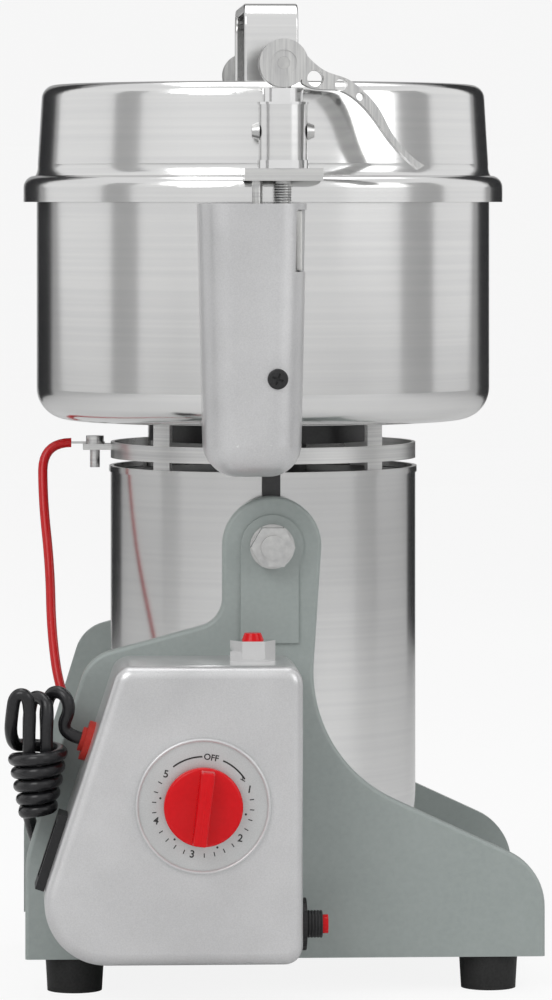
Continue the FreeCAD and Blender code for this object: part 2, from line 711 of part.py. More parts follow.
def blade(tag, z, reach, along_x):
    half_wide = blade_wide / 2
    long_side, short_side = (-reach, reach), (-half_wide, half_wide)
    spans = (long_side, short_side) if along_x else (short_side, long_side)
    bar = common("BladeBar" + tag, box("BladeBlank" + tag, spans + ((z, z + blade_thick),)),
                 cyl("BladeSweep" + tag, reach, blade_thick, (0, 0, z)))
    return cut("Blade" + tag, bar, cyl("BladeBore" + tag, 5, blade_thick, (0, 0, z)))


node(group("BladeStack", blade("Low", blade_z, blade_r, True),
           ring("BladeSpacer", 10, 5, 20, (0, 0, blade_z + blade_thick)),
           blade("High", blade_z + blade_thick + 20, blade_r - 10, False)), "blade_stack")
node(cut("BladeNut", hexagon("BladeNutBlank", 8.5, 8, (0, 0, blade_z + blade_thick * 2 + 20)),
         cyl("BladeNutBore", 5, 8, (0, 0, blade_z + blade_thick * 2 + 20))), "blade_nut")

# Steel band, its ear and screw, and four straps up to the bowl
strap_low = upper_z
strap_ring = ring("StrapRing", strap_r, strap_r - 2, bowl_low - strap_low, (0, 0, strap_low))
strap_long = motor_r + 5
cross = []
for i, turn in enumerate((45, 135)):
    bar = box("StrapBar%d" % i, ((-strap_long, strap_long), (-5.5, 5.5), (strap_low, bowl_low)),
              ((0, 0, 1), turn))
    sine, cosine = math.sin(math.radians(turn)), math.cos(math.radians(turn))
    place(bar, (-(strap_long * cosine) + 5.5 * sine, -(strap_long * sine) - 5.5 * cosine, strap_low))
    cross.append(bar)
node(common("MountStraps", strap_ring, fuse("StrapCross", *cross)), "mount_straps")
ear = box("BandEar", ((-motor_r - 14, -motor_r + 1), (-6, 6), (band_low + 4, band_low + 7)))
node(cut("ClampBand", fuse("BandBlank", ring("BandRing", motor_r, strap_r, band_high, (0, 0, band_low)), ear),
         cyl("BandHollow", strap_r, band_high, (0, 0, band_low)),
         cyl("EarHole", 2.5, band_high, (-motor_r - 8, 0, band_low))), "clamp_band")
ear_top = band_low + 7
node(group("LeadTerminal",
           fuse("EarScrew", cyl("EarShank", 2.5, 14, (-motor_r - 8, 0, ear_top - 12)),
                cyl("EarHead", 4.5, 3, (-motor_r - 8, 0, ear_top + 1))),
           cut("Terminal", fuse("TerminalBlank", cyl("TerminalRing", 5, 1, (-motor_r - 8, 0, ear_top)),
                                box("TerminalTail", ((-motor_r - 20, -motor_r - 12), (-2, 2),
                                                     (ear_top, ear_top + 1)))),
               cyl("TerminalHole", 2.5, 1, (-motor_r - 8, 0, ear_top)))), "lead_terminal")

# Latch covers


def cover_body(name, inset, top, side):
    wide = cover_wide / 2 - inset
    low = cover_low + inset
    centre = cover_x * -side
    taper = 3
    points = [(-wide, top), (taper - wide, low), (wide - taper, low), (wide, top)]
    back_y = bowl_r - 15
    depth = cover_front - inset - back_y
    back = -back_y if side < 0 else cover_front - inset
    body = padded(name, points, back, depth, centre)
    rounded(body, name + "Low", cover_round - inset,
            lambda p: abs(p.z - low) < 0.5 and abs(p.x) > float(wide) - 5)
    face = -float(depth) if side < 0 else 0.0
    rounded(body, name + "Front", cover_round - inset,
            lambda p: abs(p.y - face) < 0.01 and p.z < float(top) - 1)
    return body


def latch_cover(side, tag):
    outer = cover_body("Cover" + tag, 0 * wall, cover_top, side)
    inner = cover_body("CoverHollow" + tag, wall, cover_top + 5, side)
    bowl_space = cyl("CoverSeat" + tag, bowl_r + 0.1, 200, (0, 0, cover_low - 20))
    window_x = (cover_x + cover_wide / 2) * -side
    window_y = 131 * side
    window = box("Window" + tag, ((window_x - 7, window_x + 7), (window_y - 12, window_y + 12),
                                (window_low, window_top)))
    hole = cyl("CoverHole" + tag, 2.5, 60, (0, 100 * side, screw_z), "y" if side > 0 else "-y")
    return cut("LatchCover" + tag, outer, inner, bowl_space, window, hole)


cover_f, cover_r = both(latch_cover)
node(cover_f, "front_latch_cover")
node(cover_r, "rear_latch_cover")


def cover_screw(side, tag):
    way = "y" if side > 0 else "-y"
    return fuse("CoverScrew" + tag,
                cyl("ScrewShank" + tag, 2.5, cover_front - cover_seat - 5,
                     (0, (cover_seat + 5) * side, screw_z), way),
                cyl("ScrewHead" + tag, 5, 1.6, (0, cover_front * side, screw_z), way))


node(group("CoverScrews", *both(cover_screw)), "cover_screws")


def rod_guide(side, tag):
    x = clamp_x * -side
    low, high = cover_seat + 5, clamp_y
    span = (low, high) if side > 0 else (-high, -low)
    blank = fuse("GuideBlank" + tag, cyl("GuideTube" + tag, 8, guide_high, (x, clamp_y * side, guide_low)),
                 box("GuideRib" + tag, ((x - 4, x + 4), span, (guide_low, rib_top))))
    return cut("Guide" + tag, blank, cyl("GuideBore" + tag, rod_r + play, guide_high,
                                            (x, clamp_y * side, guide_low)))


node(group("RodGuides", *both(rod_guide)), "rod_guides")

# Safety switch in the front cover, pressed by the lug on the lid
switch_x = -9
node(cut("Switch", box("SwitchCase", ((-30, -6), (-(cover_seat + 17), -(cover_seat + 5)), (328, switch_top))),
         cyl("SwitchBore", 2 + fit, 10, (switch_x, -(cover_seat + 11), switch_top - 10))), "safety_switch")
node(cyl("Plunger", 2, 14, (switch_x, -(cover_seat + 11), switch_top - 7)), "switch_plunger")

# Lid lugs, rods, clamp bodies and cam levers
envelope = turned("LidEnvelope", lid_outer() + [(0, lip_low)])


def lid_lug(side, tag):
    x = clamp_x * -side
    low, high = lip_r - 8, clamp_y + 11
    span = (low, high) if side > 0 else (-high, -low)
    plate = box("LugPlate" + tag, ((x - 19, x + 19), span, (lug_top - 6, lug_top)))
    return cut("Lug" + tag, plate,
               envelope if side < 0 else turned("LidEnvelopeRear", lid_outer() + [(0, lip_low)]),
               cyl("LugHole" + tag, rod_r + play, 20, (x, clamp_y * side, lug_top - 10)))


pin_top = lug_top - 6
pin_low = switch_top + 7 + play
switch_pin = cyl("SwitchPin", 2.5, pin_top - pin_low, (switch_x, -(cover_seat + 11), pin_low))
node(group("LidLugs", *both(lid_lug), switch_pin), "lid_lugs")


def clamp_at(side, z):
    return (clamp_x * -side, clamp_y * side, z)


clamp_low = lug_top + 4
clamp_high = 27
collar_z = clamp_low + clamp_high + 1.2
collar_top = cam_z - cam_r - 0.4
eye_r = 6
eye_wide = 7


def rod(side, tag):
    way = "y" if side > 0 else "-y"
    start = (clamp_x * -side, (clamp_y - eye_wide / 2) * side, cam_z)
    blank = fuse("RodBlank" + tag, cyl("RodBar" + tag, rod_r, cam_z - 4.5 - rod_low, clamp_at(side, rod_low)),
                 cyl("RodEye" + tag, eye_r, eye_wide, start, way))
    return cut("Rod" + tag, blank, cyl("RodPinHole" + tag, 3, eye_wide, start, way))


node(group("ClampRods", *both(rod)), "clamp_rods")
washers = [ring("Washer" + tag + low, outer, rod_r, thick, clamp_at(side, z))
           for side, tag in ((-1, "Front"), (1, "Rear"))
           for low, z, thick, outer in (("Low", lug_top, 4, washer_r),
                                        ("Top", clamp_low + clamp_high, 1.2, washer_r),
                                        ("Collar", collar_z, collar_top - collar_z, clamp_r - 2))]
node(group("ClampWashers", *washers), "clamp_washers")
node(group("ClampBodies", *[ring("ClampBody" + tag, clamp_r, rod_r, clamp_high, clamp_at(side, clamp_low))
                            for side, tag in ((-1, "Front"), (1, "Rear"))]), "clamp_bodies")
side_screws = []
for side, tag in ((-1, "Front"), (1, "Rear")):
    for way, hand in (("x", 1), ("-x", -1)):
        at = (clamp_x * -side + (clamp_r - 0.3) * hand, clamp_y * side, clamp_low + 14)
        side_screws.append(cone("SideScrew" + tag + ("R" if hand > 0 else "L"), 4.5, 3, 3.6, at, way))
screw_set = group("SideScrewSet", *side_screws)
node(cut("ClampScrews", screw_set,
         group("ScrewSeats", *[cyl("ScrewSeat" + tag, clamp_r, 30, clamp_at(side, clamp_low))
                                                         for side, tag in ((-1, "Front"), (1, "Rear"))])),
     "clamp_screws")
half_lever = lever_wide / 2
node(group("LeverPins", *[cyl("LeverPin" + tag, 3, lever_wide - 3,
                              (clamp_x * -side, (clamp_y + (half_lever - 1.5) * -side) * side,
                                                                   cam_z), "y")
                          for side, tag in ((-1, "Front"), (1, "Rear"))]), "lever_pins")

# The lever's upper and lower edges and its holes, from the head's centre
lever_top = [(7.2, 8.2), (12.7, 1.9), (20.9, -4.3), (30.1, -7.5), (38.4, -13.5), (45.8, -21.8), (52.3, -33.9),
             (59.7, -43.1), (68.1, -49.6)]
lever_low = [(65.3, -51.5), (57.9, -45), (50.5, -36.6), (44, -27.4), (36.6, -19.1), (27.3, -13.5),
             (16.2, -12.6),
             (8.9, -9.8)]
lever_holes = [((15.3, -7.5), 4), ((27.8, -10.6), 3), ((37.1, -16.3), 2)]


def curve_through(points, y):
    spline = Part.BSplineCurve()
    spline.interpolate([V(x, y, z) for x, z in points])
    return spline.toShape()


def lever(side, label):
    """A bent strap with two cheeks round the rod's eye."""
    wide = float(sheet.get("lever_width"))
    head = float(sheet.get("cam_head_radius"))
    y = -wide / 2
    top = curve_through(lever_top, y)
    low = curve_through(lever_low, y)
    tip = Part.makeLine(V(lever_top[-1][0], y, lever_top[-1][1]), V(lever_low[0][0], y, lever_low[0][1]))
    root = Part.makeLine(V(lever_low[-1][0], y, lever_low[-1][1]), V(lever_top[0][0], y, lever_top[0][1]))
    strap = Part.Face(Part.Wire([top, tip, low, root])).extrude(V(0, wide, 0))
    shape = strap.fuse(Part.makeCylinder(head, wide, V(0, y, 0), V(0, 1, 0)))
    shape = shape.cut(Part.makeCylinder(head + 2, 8 + 2 * float(play), V(0, -4 - float(play), 0), V(0, 1, 0)))
    shape = shape.cut(Part.makeCylinder(3 + float(fit), wide, V(0, y, 0), V(0, 1, 0)))
    for end in (y, wide / 2 - 1.5):
        shape = shape.cut(Part.makeCylinder(6.3, 1.5, V(0, end, 0), V(0, 1, 0)))
    for (x, z), radius in lever_holes:
        shape = shape.cut(Part.makeCylinder(radius, wide, V(x, y, z), V(0, 1, 0)))
    obj = doc.addObject("Part::Feature", label.title().replace("_", ""))
    obj.Shape = shape
    place(obj, (clamp_x * -side, clamp_y * side, cam_z))
    return node(obj, label)


lever(-1, "front_cam_lever")
lever(1, "rear_cam_lever")

# Cords


def at_axis(points):
    return [V(x + float(axis_x), y + float(axis_y), z) for x, y, z in points]


def bent_route(points, diameter, label):
    """Straight runs joined by arcs as large as the runs allow."""
    edges = []
    last = points[0]
    radii = []
    for i in range(1, len(points) - 1):
        before, here, after = points[i - 1], points[i], points[i + 1]
        a = (before - here).normalize()
        b = (after - here).normalize()
        turn = math.pi - a.getAngle(b)
        run = min((before - here).Length, (after - here).Length)
        trim = 0.45 * run
        radius = trim / math.tan(turn / 2)
        radii.append(radius)
        start, end = here + a * trim, here + b * trim
        bisector = (a + b).normalize()
        centre = here + bisector * (radius / math.cos(turn / 2))
        edges.append(Part.makeLine(last, start))
        edges.append(Part.Arc(start, centre - bisector * radius, end).toShape())
        last = end
    edges.append(Part.makeLine(last, points[-1]))
    print(label, "radii", [round(r, 1) for r in radii])
    return tube_along(edges, diameter, label)


def tube_along(edges, diameter, label):
    path = Part.Wire(edges)
    first = edges[0]
    start = first.valueAt(first.FirstParameter)
    circle = Part.makeCircle(diameter / 2, start, first.tangentAt(first.FirstParameter))
    solid = path.makePipeShell([Part.Wire([circle])], True, False)
    ratio = solid.Volume / (math.pi * diameter ** 2 / 4 * path.Length)
    print(label, "length", round(path.Length, 1), "volume over section times length", round(ratio, 4))
    obj = doc.addObject("Part::Feature", label.title().replace("_", ""))
    obj.Shape = solid
    return node(obj, label)


# Mains cord hank: one solid of its outer shape, which the wound cord fits
gland_angle = math.radians(slant_angle)
gland_x = float(slant_x(gland_z)) - float(gland_out) * math.cos(gland_angle)
gland_end = (gland_x, -float(gland_y), float(gland_z) + float(gland_out) * math.sin(gland_angle))
out = V(-math.cos(gland_angle), 0, math.sin(gland_angle))
hank_y = -112.0
hank_rows = [(-120.2, 91.3, 4.5, 4.5), (-119.8, 100, 8, 9), (-118.5, 112, 12.5, 15), (-117, 125, 16, 19),
             (-115.5, 137, 17.4, 19), (-113.5, 146, 13.5, 14), (-112, 151.5, 6, 6)]


def oval(x, z, half_wide, half_deep):
    """A level oval of the hank, deeper than it is wide."""
    middle, deep, wide = at_axis([(x, hank_y, z), (x, hank_y + half_deep + 0.001, z),
                                  (x + half_wide, hank_y, z)])
    return Part.Wire([Part.Ellipse(deep, wide, middle).toShape()])


def stub(start, along, length):
    """A short straight of the cord, let into the hank."""
    return Part.makeCylinder(float(cord_d) / 2, length, start, along)


gland_at, hank_foot = at_axis([gland_end, (-120.5, hank_y, 94.5)])
tail_way = V(0, 0.9937, -0.112).normalize()
tail_stub = 8.5
wound = Part.makeLoft([oval(*row) for row in hank_rows], True, True)
wound = wound.fuse([stub(gland_at, out, 9), stub(hank_foot, tail_way, tail_stub)])
hank = doc.addObject("Part::Feature", "Hank")
hank.Shape = wound
node(hank, "mains_cord_hank")

# Tail: from the hank's end round the frame's edge into the base, to the plug on the floor
tail_from = hank_foot + tail_way * tail_stub
tail = [tail_from, tail_from + tail_way * 20] + at_axis([(-116, -68, 72), (-105, -46, 49), (-98, -20, 32),
                                                         (-98, 12, 29.5)])
bent_route(tail, float(cord_d), "mains_cord_tail")
plug_z = 29.5
plug = fuse("Plug", box("PlugBody", ((-109, -87), (12, 48), (plug_z - 8, plug_z + 8))),
            box("PlugPinA", ((-105, -103.4), (48, 65), (plug_z - 3, plug_z + 3))),
            box("PlugPinB", ((-92.6, -91), (48, 65), (plug_z - 3, plug_z + 3))))
node(plug, "mains_plug")

# Red lead from the band's ear to the front frame
lead_start = (-float(motor_r) - 20, 0, float(ear_top) + 0.5)
lead = at_axis([lead_start, (-112, 0, 266.5), (-112, -9, 238), (-108.5, -26, 205), (-108, -46, 174),
                (-104, -62, 145),
                (-92, -64, 124), (-90, -82, 122)])
bent_route(lead, float(lead_d), "red_lead")

# Check everything, then write one file for each piece
doc.recompute()
for obj in doc.Objects:
    if any(word in obj.State for word in ("Invalid", "Error")):
        raise SystemExit("failed: %s %s" % (obj.Name, obj.State))
os.makedirs("parts", exist_ok=True)
whole = FreeCAD.BoundBox()
for obj in nodes:
    if obj.Shape.isNull() or not obj.Shape.isValid():
        raise SystemExit("bad shape: " + obj.Label)
    obj.Shape.exportStep("parts/%s.step" % obj.Label)
    if not obj.Label.startswith("mains"):
        whole.add(obj.Shape.BoundBox)
    print(obj.Label, len(obj.Shape.Solids), round(obj.Shape.Volume, 1))
print(len(nodes), "pieces", whole, whole.Center)
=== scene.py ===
import bpy
import bmesh
import json
import math
from mathutils import Vector, Matrix

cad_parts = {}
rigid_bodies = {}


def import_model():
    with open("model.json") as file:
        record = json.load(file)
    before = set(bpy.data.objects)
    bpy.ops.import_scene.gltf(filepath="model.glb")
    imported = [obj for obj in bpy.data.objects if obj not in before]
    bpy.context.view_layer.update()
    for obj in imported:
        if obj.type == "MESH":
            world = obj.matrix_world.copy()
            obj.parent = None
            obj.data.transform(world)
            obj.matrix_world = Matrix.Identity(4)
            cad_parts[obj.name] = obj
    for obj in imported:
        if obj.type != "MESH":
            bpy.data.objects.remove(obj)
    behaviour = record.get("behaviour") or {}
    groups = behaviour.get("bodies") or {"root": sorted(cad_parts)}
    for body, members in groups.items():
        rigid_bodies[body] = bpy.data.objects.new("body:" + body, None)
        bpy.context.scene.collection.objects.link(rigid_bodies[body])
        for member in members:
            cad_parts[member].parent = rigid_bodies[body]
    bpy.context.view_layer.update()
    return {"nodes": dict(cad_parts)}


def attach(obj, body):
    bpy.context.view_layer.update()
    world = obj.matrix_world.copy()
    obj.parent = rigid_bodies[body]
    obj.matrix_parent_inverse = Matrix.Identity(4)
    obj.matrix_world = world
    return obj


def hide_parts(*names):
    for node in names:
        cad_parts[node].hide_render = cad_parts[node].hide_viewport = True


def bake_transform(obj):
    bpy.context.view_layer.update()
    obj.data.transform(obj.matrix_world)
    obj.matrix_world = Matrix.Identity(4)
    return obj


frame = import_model()
nodes = frame["nodes"]

bowlAxis = (-6.75, 12.5)  # where the bowl's axis stands in the frame, in millimetres
smoothAngle = math.radians(35)
bevelAngle = math.radians(30)
quarter = math.radians(90)


def place(x, y, z):  # millimetres from the bowl's axis to metres in the frame
    return Vector(((x + bowlAxis[0]) / 1000, (y + bowlAxis[1]) / 1000, z / 1000))


def clearSelection():
    for o in bpy.context.scene.objects:
        o.select_set(False)
    bpy.context.view_layer.objects.active = None


def takeUp(obj):
    clearSelection()
    obj.select_set(True)
    bpy.context.view_layer.objects.active = obj


def applyAll(obj):
    takeUp(obj)
    for mod in list(obj.modifiers):
        bpy.ops.object.modifier_apply(modifier=mod.name)


def settle(obj, body, finish):
    takeUp(obj)
    bpy.ops.object.transform_apply(location=True, rotation=True, scale=True)
    bpy.ops.object.shade_smooth_by_angle(angle=smoothAngle)
    obj.data.materials.clear()
    obj.data.materials.append(finish)
    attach(obj, body)


def joinPieces(name, pieces):
    clearSelection()
    for o in pieces:
        o.select_set(True)
    bpy.context.view_layer.objects.active = pieces[0]
    bpy.ops.object.join()
    joined = bpy.context.active_object
    joined.name = name
    return joined


def bevelled(obj, width, segments=3):
    takeUp(obj)
    bpy.ops.object.transform_apply(location=False, rotation=False, scale=True)
    mod = obj.modifiers.new("roundEdges", "BEVEL")
    mod.width = width
    mod.segments = segments
    mod.limit_method = "ANGLE"
    mod.angle_limit = bevelAngle
    applyAll(obj)


def drum(name, radius, length, at, turn=(0, 0, 0), sides=64):
    clearSelection()
    bpy.ops.mesh.primitive_cylinder_add(vertices=sides, radius=radius, depth=length, location=at,
                                        rotation=turn)
    obj = bpy.context.active_object
    obj.name = name
    return obj


def block(size, at, turn=(0, 0, 0)):  # size in millimetres
    clearSelection()
    bpy.ops.mesh.primitive_cube_add(size=1, location=at, rotation=turn)
    obj = bpy.context.active_object
    obj.scale = [side / 1000 for side in size]
    return obj


def editFront(obj):  # edit mode with only the front face selected
    takeUp(obj)
    bpy.ops.object.transform_apply(location=False, rotation=False, scale=True)
    bpy.ops.object.mode_set(mode="EDIT")
    bpy.ops.mesh.select_all(action="DESELECT")
    for face in bmesh.from_edit_mesh(obj.data).faces:
        face.select = face.normal.y < -0.9
    bmesh.update_edit_mesh(obj.data)


# Shared effects, as node groups that put out values only
def newGroup(name, inputs, outputs):
    group = bpy.data.node_groups.new(name, "ShaderNodeTree")
    for label, kind, value in inputs:
        socket = group.interface.new_socket(label, in_out="INPUT", socket_type=kind)
        socket.default_value = value
    for label, kind in outputs:
        group.interface.new_socket(label, in_out="OUTPUT", socket_type=kind)
    return group, group.nodes.new("NodeGroupInput"), group.nodes.new("NodeGroupOutput")


def makeGrain():  # fine mottled grain of paint, plastic and rubber
    group, source, result = newGroup(
        "surfaceGrain",
        [("Scale", "NodeSocketFloat", 600.0), ("Soft Scale", "NodeSocketFloat", 25.0)],
        [("Fine", "NodeSocketFloat"), ("Soft", "NodeSocketFloat")])
    where = group.nodes.new("ShaderNodeTexCoord")
    for scaleName, outName, detail in (("Scale", "Fine", 3.0), ("Soft Scale", "Soft", 5.0)):
        noise = group.nodes.new("ShaderNodeTexNoise")
        noise.inputs["Detail"].default_value = detail
        group.links.new(where.outputs["Object"], noise.inputs["Vector"])
        group.links.new(source.outputs[scaleName], noise.inputs["Scale"])
        group.links.new(noise.outputs["Fac"], result.inputs[outName])
    return group


def makeBrushing():  # long thin polishing lines
    group, source, result = newGroup(
        "brushedLines",
        [("Stretch", "NodeSocketVector", (4.0, 4.0, 900.0))],
        [("Lines", "NodeSocketFloat"), ("Cloud", "NodeSocketFloat")])
    where = group.nodes.new("ShaderNodeTexCoord")
    scale = group.nodes.new("ShaderNodeVectorMath")
    scale.operation = "MULTIPLY"
    lines = group.nodes.new("ShaderNodeTexNoise")
    lines.inputs["Scale"].default_value = 1.0
    lines.inputs["Detail"].default_value = 4.0
    cloud = group.nodes.new("ShaderNodeTexNoise")
    cloud.inputs["Scale"].default_value = 9.0
    group.links.new(where.outputs["Object"], scale.inputs[0])
    group.links.new(source.outputs["Stretch"], scale.inputs[1])
    group.links.new(scale.outputs["Vector"], lines.inputs["Vector"])
    group.links.new(where.outputs["Object"], cloud.inputs["Vector"])
    group.links.new(lines.outputs["Fac"], result.inputs["Lines"])
    group.links.new(cloud.outputs["Fac"], result.inputs["Cloud"])
    return group


grainGroup = makeGrain()
brushGroup = makeBrushing()


def mathNode(tree, operation, second=None):
    node = tree.nodes.new("ShaderNodeMath")
    node.operation = operation
    if second is not None:
        node.inputs[1].default_value = second
    return node


def ranged(tree, value, low, high):
    node = tree.nodes.new("ShaderNodeMapRange")
    node.inputs["From Min"].default_value = 0.3
    node.inputs["From Max"].default_value = 0.7
    node.inputs["To Min"].default_value = low
    node.inputs["To Max"].default_value = high
    tree.links.new(value, node.inputs["Value"])
    return node.outputs["Result"]


def mixedColour(tree, value, dark, light):
    ramp = tree.nodes.new("ShaderNodeValToRGB")
    ramp.color_ramp.elements[0].position = 0.35
    ramp.color_ramp.elements[0].color = (*dark, 1)
    ramp.color_ramp.elements[1].position = 0.65
    ramp.color_ramp.elements[1].color = (*light, 1)
    tree.links.new(value, ramp.inputs["Fac"])
    return ramp.outputs["Color"]


def bumped(tree, shader, height, strength, distance):
    bump = tree.nodes.new("ShaderNodeBump")
    bump.inputs["Strength"].default_value = strength
    bump.inputs["Distance"].default_value = distance
    tree.links.new(height, bump.inputs["Height"])
    tree.links.new(bump.outputs["Normal"], shader.inputs["Normal"])


def newFinish(name):
    finish = bpy.data.materials.new(name)
    finish.use_nodes = True
    return finish, finish.node_tree, finish.node_tree.nodes["Principled BSDF"]


def grainFinish(name, dark, light, rough, scale, metal=0.0, bump=0.15, coat=0.0, coatRough=0.1, shine=0.5):
    finish, tree, shader = newFinish(name)
    grain = tree.nodes.new("ShaderNodeGroup")
    grain.node_tree = grainGroup
    grain.inputs["Scale"].default_value = scale
    half = mathNode(tree, "MULTIPLY", 0.5)
    blend = mathNode(tree, "MULTIPLY_ADD", 0.5)
    tree.links.new(grain.outputs["Soft"], half.inputs[0])
    tree.links.new(grain.outputs["Fine"], blend.inputs[0])
    tree.links.new(half.outputs[0], blend.inputs[2])
    tree.links.new(mixedColour(tree, blend.outputs[0], dark, light), shader.inputs["Base Color"])
    tree.links.new(ranged(tree, grain.outputs["Soft"], *rough), shader.inputs["Roughness"])
    shader.inputs["Metallic"].default_value = metal
    shader.inputs["Coat Weight"].default_value = coat
    shader.inputs["Coat Roughness"].default_value = coatRough
    shader.inputs["Specular IOR Level"].default_value = shine
    bumped(tree, shader, grain.outputs["Fine"], bump, 0.00005)
    return finish


def brushedFinish(name, dark, light, rough, stretch, bump):
    finish, tree, shader = newFinish(name)
    brush = tree.nodes.new("ShaderNodeGroup")
    brush.node_tree = brushGroup
    brush.inputs["Stretch"].default_value = stretch
    tree.links.new(mixedColour(tree, brush.outputs["Lines"], dark, light), shader.inputs["Base Color"])
    tree.links.new(ranged(tree, brush.outputs["Cloud"], *rough), shader.inputs["Roughness"])
    shader.inputs["Metallic"].default_value = 1.0
    bumped(tree, shader, brush.outputs["Lines"], bump, 0.00004)
    return finish


# Bare steels: dark and light colour, least and most roughness, stretch of the lines, bump
steelLooks = {
    "polishedSteel": ((0.64, 0.64, 0.64), (0.68, 0.68, 0.675), (0.13, 0.18), (3.0, 3.0, 420.0), 0.02),
    "brushedSteel": ((0.50, 0.50, 0.50), (0.63, 0.63, 0.62), (0.24, 0.34), (5.0, 5.0, 900.0), 0.12),
    "brushedBar": ((0.48, 0.48, 0.48), (0.62, 0.62, 0.61), (0.26, 0.36), (1200.0, 12.0, 60.0), 0.12),
    "chrome": ((0.68, 0.68, 0.68), (0.74, 0.74, 0.74), (0.06, 0.10), (40.0, 40.0, 40.0), 0.01),
}

# Everything else: dark and light colour, least and most roughness, scale of the grain, and what is special
grainLooks = {
    "castPaint": ((0.300, 0.338, 0.326), (0.335, 0.372, 0.360), (0.38, 0.48), 420.0, {"bump": 0.10}),
    "silverPaint": ((0.50, 0.50, 0.505), (0.60, 0.60, 0.605), (0.30, 0.38), 1500.0,
                    {"metal": 0.55, "bump": 0.10, "coat": 0.35, "coatRough": 0.12}),
    "dialSilver": ((0.46, 0.47, 0.47), (0.56, 0.57, 0.57), (0.34, 0.42), 1800.0, {"metal": 0.6, "bump": 0.08}),
    "zincSteel": ((0.42, 0.42, 0.42), (0.56, 0.56, 0.55), (0.28, 0.40), 300.0, {"metal": 1.0}),
    "redGloss": ((0.64, 0.002, 0.006), (0.70, 0.003, 0.008), (0.18, 0.24), 500.0,
                 {"bump": 0.03, "shine": 0.22}),
    "redMatt": ((0.38, 0.020, 0.014), (0.46, 0.028, 0.018), (0.42, 0.52), 500.0, {"shine": 0.3}),
    "redSleeve": ((0.50, 0.004, 0.006), (0.58, 0.006, 0.009), (0.22, 0.30), 700.0,
                  {"bump": 0.05, "shine": 0.35}),
    "blackCord": ((0.012, 0.012, 0.013), (0.020, 0.020, 0.022), (0.18, 0.28), 500.0,
                  {"bump": 0.08, "shine": 0.35}),
    "blackRubber": ((0.014, 0.014, 0.014), (0.026, 0.026, 0.026), (0.55, 0.68), 900.0,
                    {"bump": 0.2, "shine": 0.25}),
    "blackPlastic": ((0.014, 0.014, 0.015), (0.024, 0.024, 0.025), (0.34, 0.44), 900.0,
                     {"bump": 0.12, "shine": 0.3}),
    "blackPaint": ((0.020, 0.020, 0.021), (0.034, 0.034, 0.035), (0.36, 0.46), 700.0, {}),
    "whitePlastic": ((0.72, 0.72, 0.70), (0.80, 0.80, 0.78), (0.34, 0.42), 500.0, {}),
    "printInk": ((0.012, 0.012, 0.012), (0.022, 0.022, 0.022), (0.45, 0.55), 900.0, {}),
    "copperWire": ((0.42, 0.14, 0.06), (0.55, 0.20, 0.09), (0.32, 0.42), 1200.0, {"metal": 0.8}),
    "greySteel": ((0.28, 0.28, 0.29), (0.38, 0.38, 0.38), (0.34, 0.46), 500.0, {"metal": 1.0}),
}
finishes = {name: brushedFinish(name, *look) for name, look in steelLooks.items()}
for name, (dark, light, rough, scale, special) in grainLooks.items():
    finishes[name] = grainFinish(name, dark, light, rough, scale, **special)
print("materials made")

# Every carried-over node takes one of these finishes
nodeFinish = {
    "polishedSteel": ["bowl", "lid", "motor_housing", "lid_handle", "clamp_bodies"],
    "brushedBar": ["front_cam_lever", "rear_cam_lever"],
    "brushedSteel": ["lid_lugs", "blade_stack", "clamp_band", "mount_straps", "lead_terminal"],
    "castPaint": ["front_side_frame", "rear_side_frame", "base_floor"],
    "silverPaint": ["control_box", "front_latch_cover", "rear_latch_cover"],
    "dialSilver": ["dial_plate"],
    "chrome": ["lamp_bezel", "clamp_washers"],
    "zincSteel": ["trunnion_studs", "trunnion_nuts", "floor_screws", "clamp_rods", "clamp_screws",
                  "lever_pins", "blade_nut", "rotor_shaft"],
    "redGloss": ["lamp_lens", "reset_button", "timer_knob"],
    "redMatt": ["strain_relief"],
    "redSleeve": ["red_lead"],
    "blackCord": ["mains_plug", "mains_cord_hank", "mains_cord_tail"],
    "blackRubber": ["rubber_feet", "lid_seal", "shaft_seal", "lead_bush"],
    "blackPlastic": ["timer_body", "breaker_body", "breaker_nut", "rocker_housing", "rocker_button",
                     "safety_switch", "brush_gear", "cover_screws"],
    "blackPaint": ["upper_bracket", "trunnion_brackets"],
    "whitePlastic": ["rod_guides", "switch_plunger", "cooling_fan"],
    "copperWire": ["field_coils", "commutator"],
    "greySteel": ["lower_bracket", "stator_core", "armature_core", "motor_bearings"],
}
for finishName, names in nodeFinish.items():
    for nodeName in names:
        for materialSlot in nodes[nodeName].material_slots:
            materialSlot.material = finishes[finishName]
print("finishes on the carried-over nodes")

# Camera, level with the middle of the bowl and a little to the left
camera = {"distance": 2.7, "yaw": 2.8, "height": 0.3897, "lens": 191.0, "sensor": 36,
          "shiftX": 0.013, "shiftY": -0.300, "clip": 50}
yaw = math.radians(camera["yaw"])
bpy.ops.object.camera_add(location=(bowlAxis[0] / 1000 - camera["distance"] * math.sin(yaw),
                                    bowlAxis[1] / 1000 - camera["distance"] * math.cos(yaw),
                                    camera["height"]),
                          rotation=(quarter, 0, -yaw))
viewCamera = bpy.context.active_object
viewCamera.name = "viewCamera"
viewCamera.data.lens = camera["lens"]
viewCamera.data.sensor_width = camera["sensor"]
viewCamera.data.shift_x = camera["shiftX"]
viewCamera.data.shift_y = camera["shiftY"]
viewCamera.data.clip_end = camera["clip"]
bpy.context.scene.camera = viewCamera
bpy.context.scene.view_settings.view_transform = "Standard"

